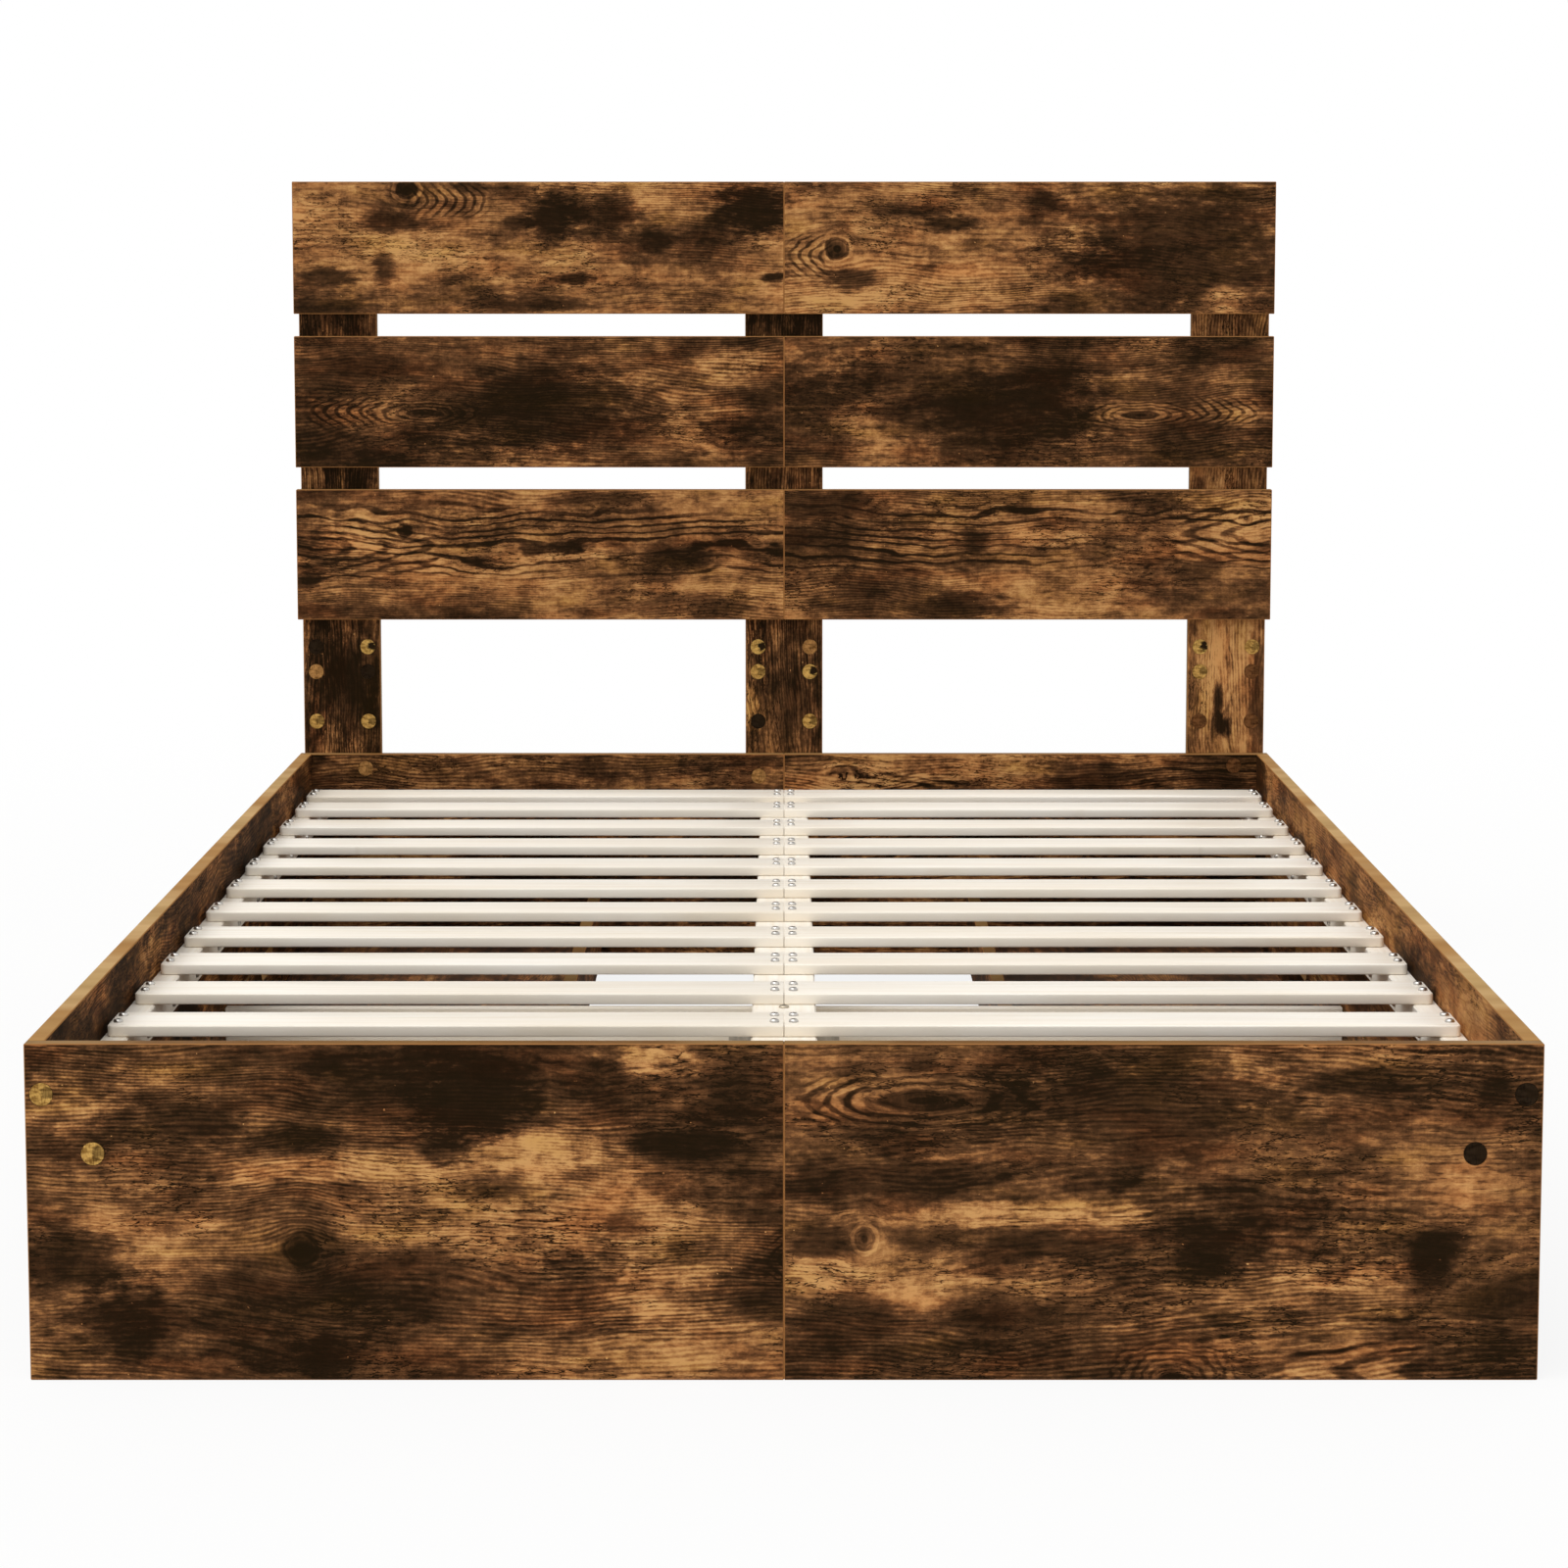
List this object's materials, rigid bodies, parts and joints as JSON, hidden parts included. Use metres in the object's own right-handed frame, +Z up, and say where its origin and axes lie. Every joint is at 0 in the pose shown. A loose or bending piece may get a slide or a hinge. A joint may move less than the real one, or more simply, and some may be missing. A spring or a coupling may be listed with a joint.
{
  "type": "storage bed",
  "caption": "Board-built bed frame with a slatted open headboard, a wooden slat base on a centre beam, and roller drawers that slide out from under the side rails.",
  "frame": {"origin": "on the floor, under the middle of the bed's overall length and width", "axes": "+X to the right as seen from the foot end, +Y from the foot end to the headboard, +Z up"},
  "size_m": [1.235, 2.0454, 1.003],
  "materials": {
    "smoked_oak_print": "satin smoked-oak print with dark grain",
    "cream_timber": "plain cream, satin",
    "drawer_bottom": "printed hardboard, satin",
    "roller": "moulded, matte"
  },
  "bodies": {
    "frame": {"footboard_left": "smoked_oak_print", "footboard_right": "smoked_oak_print", "head_rail_left": "smoked_oak_print", "head_rail_right": "smoked_oak_print", "side_rail_left": "smoked_oak_print", "side_rail_right": "smoked_oak_print", "post_left": "smoked_oak_print", "post_centre": "smoked_oak_print", "post_right": "smoked_oak_print", "headboard_row_1_left": "smoked_oak_print", "headboard_row_1_right": "smoked_oak_print", "headboard_row_2_left": "smoked_oak_print", "headboard_row_2_right": "smoked_oak_print", "headboard_row_3_left": "smoked_oak_print", "headboard_row_3_right": "smoked_oak_print", "centre_beam": "cream_timber", "slat_batten_left": "cream_timber", "slat_batten_right": "cream_timber", "support_panel_foot": "cream_timber", "support_panel_head": "cream_timber", "slat_01": "cream_timber", "slat_02": "cream_timber", "slat_03": "cream_timber", "slat_04": "cream_timber", "slat_05": "cream_timber", "slat_06": "cream_timber", "slat_07": "cream_timber", "slat_08": "cream_timber", "slat_09": "cream_timber", "slat_10": "cream_timber", "slat_11": "cream_timber", "slat_12": "cream_timber"},
    "drawer_left_foot": {"drawer_left_foot_front": "smoked_oak_print", "drawer_left_foot_back": "smoked_oak_print", "drawer_left_foot_foot_wall": "smoked_oak_print", "drawer_left_foot_head_wall": "smoked_oak_print", "drawer_left_foot_bottom": "drawer_bottom"},
    "rollers_left_foot_outer": {"drawer_left_foot_rollers_outer": "roller"},
    "rollers_left_foot_inner": {"drawer_left_foot_rollers_inner": "roller"},
    "drawer_left_head": {"drawer_left_head_front": "smoked_oak_print", "drawer_left_head_back": "smoked_oak_print", "drawer_left_head_foot_wall": "smoked_oak_print", "drawer_left_head_head_wall": "smoked_oak_print", "drawer_left_head_bottom": "drawer_bottom"},
    "rollers_left_head_outer": {"drawer_left_head_rollers_outer": "roller"},
    "rollers_left_head_inner": {"drawer_left_head_rollers_inner": "roller"},
    "drawer_right_foot": {"drawer_right_foot_front": "smoked_oak_print", "drawer_right_foot_back": "smoked_oak_print", "drawer_right_foot_foot_wall": "smoked_oak_print", "drawer_right_foot_head_wall": "smoked_oak_print", "drawer_right_foot_bottom": "drawer_bottom"},
    "rollers_right_foot_outer": {"drawer_right_foot_rollers_outer": "roller"},
    "rollers_right_foot_inner": {"drawer_right_foot_rollers_inner": "roller"},
    "drawer_right_head": {"drawer_right_head_front": "smoked_oak_print", "drawer_right_head_back": "smoked_oak_print", "drawer_right_head_foot_wall": "smoked_oak_print", "drawer_right_head_head_wall": "smoked_oak_print", "drawer_right_head_bottom": "drawer_bottom"},
    "rollers_right_head_outer": {"drawer_right_head_rollers_outer": "roller"},
    "rollers_right_head_inner": {"drawer_right_head_rollers_inner": "roller"}
  },
  "joints": [
    {"name": "drawer_left_foot_slide", "type": "slide", "parent": "frame", "child": "drawer_left_foot", "axis": [-1, 0, 0], "range_m": [0, 0.34]},
    {"name": "rollers_left_foot_outer_spin", "type": "hinge", "parent": "drawer_left_foot", "child": "rollers_left_foot_outer", "pos_m": [-0.5575, -0.57515, 0.015], "axis": [0, -1, 0], "range_deg": [0, 1300]},
    {"name": "rollers_left_foot_inner_spin", "type": "hinge", "parent": "drawer_left_foot", "child": "rollers_left_foot_inner", "pos_m": [-0.2935, -0.57515, 0.015], "axis": [0, -1, 0], "range_deg": [0, 1300]},
    {"name": "drawer_left_head_slide", "type": "slide", "parent": "frame", "child": "drawer_left_head", "axis": [-1, 0, 0], "range_m": [0, 0.34]},
    {"name": "rollers_left_head_outer_spin", "type": "hinge", "parent": "drawer_left_head", "child": "rollers_left_head_outer", "pos_m": [-0.5575, 0.55985, 0.015], "axis": [0, -1, 0], "range_deg": [0, 1300]},
    {"name": "rollers_left_head_inner_spin", "type": "hinge", "parent": "drawer_left_head", "child": "rollers_left_head_inner", "pos_m": [-0.2935, 0.55985, 0.015], "axis": [0, -1, 0], "range_deg": [0, 1300]},
    {"name": "drawer_right_foot_slide", "type": "slide", "parent": "frame", "child": "drawer_right_foot", "axis": [1, 0, 0], "range_m": [0, 0.34]},
    {"name": "rollers_right_foot_outer_spin", "type": "hinge", "parent": "drawer_right_foot", "child": "rollers_right_foot_outer", "pos_m": [0.5575, -0.57515, 0.015], "axis": [0, 1, 0], "range_deg": [0, 1300]},
    {"name": "rollers_right_foot_inner_spin", "type": "hinge", "parent": "drawer_right_foot", "child": "rollers_right_foot_inner", "pos_m": [0.2935, -0.57515, 0.015], "axis": [0, 1, 0], "range_deg": [0, 1300]},
    {"name": "drawer_right_head_slide", "type": "slide", "parent": "frame", "child": "drawer_right_head", "axis": [1, 0, 0], "range_m": [0, 0.34]},
    {"name": "rollers_right_head_outer_spin", "type": "hinge", "parent": "drawer_right_head", "child": "rollers_right_head_outer", "pos_m": [0.5575, 0.55985, 0.015], "axis": [0, 1, 0], "range_deg": [0, 1300]},
    {"name": "rollers_right_head_inner_spin", "type": "hinge", "parent": "drawer_right_head", "child": "rollers_right_head_inner", "pos_m": [0.2935, 0.55985, 0.015], "axis": [0, 1, 0], "range_deg": [0, 1300]}
  ],
  "couplings": [
    {"joint": "rollers_left_foot_outer_spin", "follows": "drawer_left_foot_slide", "rad_per_m": 66.667},
    {"joint": "rollers_left_foot_inner_spin", "follows": "drawer_left_foot_slide", "rad_per_m": 66.667},
    {"joint": "rollers_left_head_outer_spin", "follows": "drawer_left_head_slide", "rad_per_m": 66.667},
    {"joint": "rollers_left_head_inner_spin", "follows": "drawer_left_head_slide", "rad_per_m": 66.667},
    {"joint": "rollers_right_foot_outer_spin", "follows": "drawer_right_foot_slide", "rad_per_m": 66.667},
    {"joint": "rollers_right_foot_inner_spin", "follows": "drawer_right_foot_slide", "rad_per_m": 66.667},
    {"joint": "rollers_right_head_outer_spin", "follows": "drawer_right_head_slide", "rad_per_m": 66.667},
    {"joint": "rollers_right_head_inner_spin", "follows": "drawer_right_head_slide", "rad_per_m": 66.667}
  ]
}
